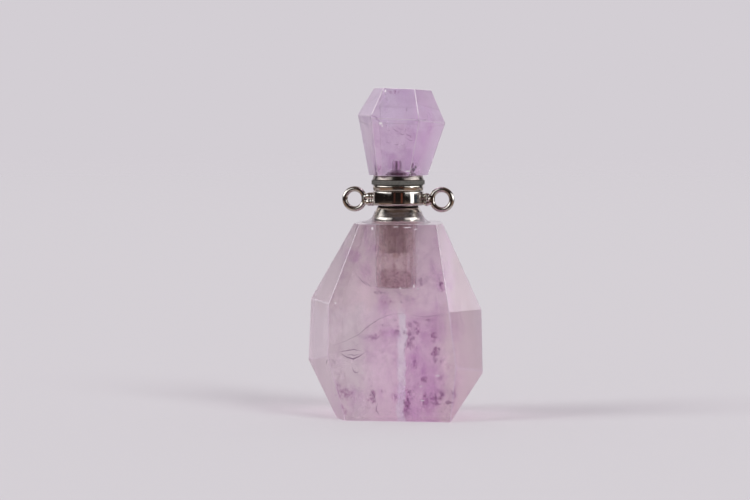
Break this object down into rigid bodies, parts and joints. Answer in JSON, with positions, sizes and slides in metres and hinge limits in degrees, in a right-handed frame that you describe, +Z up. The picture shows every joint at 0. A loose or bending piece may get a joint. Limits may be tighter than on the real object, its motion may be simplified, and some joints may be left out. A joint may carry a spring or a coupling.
{
  "type": "bottle pendant",
  "caption": "Small faceted amethyst bottle with a bore, steel neck, two wire loops for a chain, gasket and a screw stopper topped by a faceted stone.",
  "frame": {"origin": "on the flat base of the body stone, under the neck's axis", "axes": "+Z up along the neck's axis, -Y out of the large front face, +X to the viewer's right"},
  "size_m": [0.0201, 0.0116, 0.0374],
  "materials": {
    "amethyst": "polished flat facets, cloudy pale violet quartz",
    "stopper_amethyst": "polished flat facets, pale violet quartz",
    "polished_steel": "mirror polished stainless steel",
    "collar_steel": "mirror polished, soldered loops",
    "clear_glue": "clear cured glue",
    "gasket_rubber": "matt grey silicone"
  },
  "bodies": {
    "bottle": {"body_stone": "amethyst", "neck_fitting": "polished_steel", "glue_fillet": "clear_glue", "loop_collar": "collar_steel"},
    "seal": {"gasket": "gasket_rubber"},
    "stopper": {"stopper_fitting": "polished_steel", "stopper_stone": "stopper_amethyst"}
  },
  "joints": [
    {"name": "stopper_lift", "type": "slide", "parent": "bottle", "child": "seal", "axis": [0, 0, 1], "range_m": [0, 0.0105]},
    {"name": "stopper_turn", "type": "hinge", "parent": "seal", "child": "stopper", "pos_m": [0, 0, 0.0269], "axis": [0, 0, 1], "range_deg": [0, 1530]}
  ]
}
